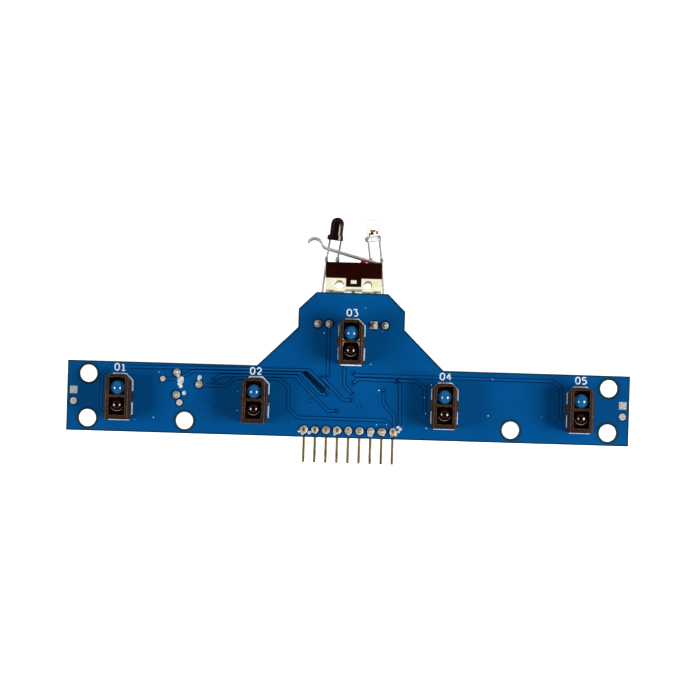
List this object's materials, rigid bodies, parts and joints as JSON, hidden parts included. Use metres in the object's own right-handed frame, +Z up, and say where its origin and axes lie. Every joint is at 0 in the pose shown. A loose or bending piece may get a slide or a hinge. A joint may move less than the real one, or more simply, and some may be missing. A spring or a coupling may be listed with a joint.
{
  "type": "line sensor board",
  "caption": "T-shaped circuit board with reflective line sensors in hoods, a front bump switch with a hooked lever, an infrared proximity pair, a trimmer and bent header pins.",
  "frame": {"origin": "bottom centre of the object's bounding box; the board lies on its component side, as pictured, with its sensors up", "axes": "+X along the long strip to the right, +Y forward to the bump switch, +Z up out of the sensors; in use the board is turned over so that the sensors face the floor"},
  "size_m": [0.128, 0.0564, 0.0148],
  "materials": {
    "board": "glossy blue solder mask over copper on glass fibre",
    "sensor_housing": "moulded brown-black",
    "dark_lens": "cast infrared-pass epoxy",
    "blue_lens": "cast blue epoxy",
    "clear_lens": "cast water-clear epoxy",
    "switch_cream": "moulded",
    "black_plastic": "moulded",
    "red_plastic": "moulded",
    "copper_alloy": "stamped spring strip",
    "pin_metal": "drawn and flash plated",
    "trimmer_blue": "moulded",
    "white_plastic": "moulded",
    "indicator_resin": "clear resin over a die",
    "capacitor_ceramic": "fired",
    "tinned_steel": "tinned or plain strip"
  },
  "bodies": {
    "board": {"bump_indicator": "indicator_resin", "circuit_board": "board", "emitter_lead_left": "tinned_steel", "emitter_lead_right": "tinned_steel", "header_body": "black_plastic", "header_pin_1": "pin_metal", "header_pin_2": "pin_metal", "header_pin_3": "pin_metal", "header_pin_4": "pin_metal", "header_pin_5": "pin_metal", "header_pin_6": "pin_metal", "header_pin_7": "pin_metal", "header_pin_8": "pin_metal", "header_pin_9": "pin_metal", "indicator_1": "indicator_resin", "indicator_2": "indicator_resin", "indicator_3": "indicator_resin", "indicator_4": "indicator_resin", "indicator_5": "indicator_resin", "logic_chip": "black_plastic", "proximity_emitter_lens": "clear_lens", "proximity_indicator": "indicator_resin", "proximity_receiver_lens": "dark_lens", "receiver_lead_left": "tinned_steel", "receiver_lead_right": "tinned_steel", "sensor_1_detector": "dark_lens", "sensor_1_emitter": "blue_lens", "sensor_1_housing": "sensor_housing", "sensor_2_detector": "dark_lens", "sensor_2_emitter": "blue_lens", "sensor_2_housing": "sensor_housing", "sensor_3_detector": "dark_lens", "sensor_3_emitter": "blue_lens", "sensor_3_housing": "sensor_housing", "sensor_4_detector": "dark_lens", "sensor_4_emitter": "blue_lens", "sensor_4_housing": "sensor_housing", "sensor_5_detector": "dark_lens", "sensor_5_emitter": "blue_lens", "sensor_5_housing": "sensor_housing", "sensor_resistor_1": "black_plastic", "sensor_resistor_2": "black_plastic", "sensor_resistor_3": "black_plastic", "sensor_resistor_4": "black_plastic", "sensor_resistor_5": "black_plastic", "supply_capacitor": "capacitor_ceramic", "switch_base": "switch_cream", "switch_cover": "black_plastic", "switch_terminal_closed": "tinned_steel", "switch_terminal_common": "tinned_steel", "switch_terminal_open": "tinned_steel", "trimmer_body": "trimmer_blue", "trimmer_terminal_1": "tinned_steel", "trimmer_terminal_2": "tinned_steel", "trimmer_terminal_3": "tinned_steel"},
    "lever": {"switch_lever": "tinned_steel"},
    "plunger": {"switch_plunger": "red_plastic"},
    "contact_blade": {"switch_contact_blade": "copper_alloy"},
    "rotor": {"trimmer_rotor": "white_plastic"}
  },
  "joints": [
    {"name": "lever_press", "type": "hinge", "parent": "board", "child": "lever", "pos_m": [0.00605, 0.01685, 0.0053], "axis": [0, 0.1045, 0.9945], "range_deg": [0, 11], "stiffness_Nm_per_rad": 0.02, "springref_deg": -8.59},
    {"name": "plunger_slide", "type": "slide", "parent": "board", "child": "plunger", "axis": [0, -0.9945, 0.1045], "range_m": [0, 0.00072]},
    {"name": "contact_rock", "type": "hinge", "parent": "board", "child": "contact_blade", "pos_m": [0.00545, 0.01496, 0.00549], "axis": [0, 0.1045, 0.9945], "range_deg": [0, 13.6]},
    {"name": "trimmer_turn", "type": "hinge", "parent": "board", "child": "rotor", "pos_m": [-0.0366, -0.01097, 0.00622], "axis": [0, 0, -1], "range_deg": [-105, 105]}
  ],
  "couplings": [
    {"joint": "plunger_slide", "follows": "lever_press", "m_per_rad": 0.0037001},
    {"joint": "contact_rock", "follows": "lever_press", "ratio": 1.2277}
  ]
}
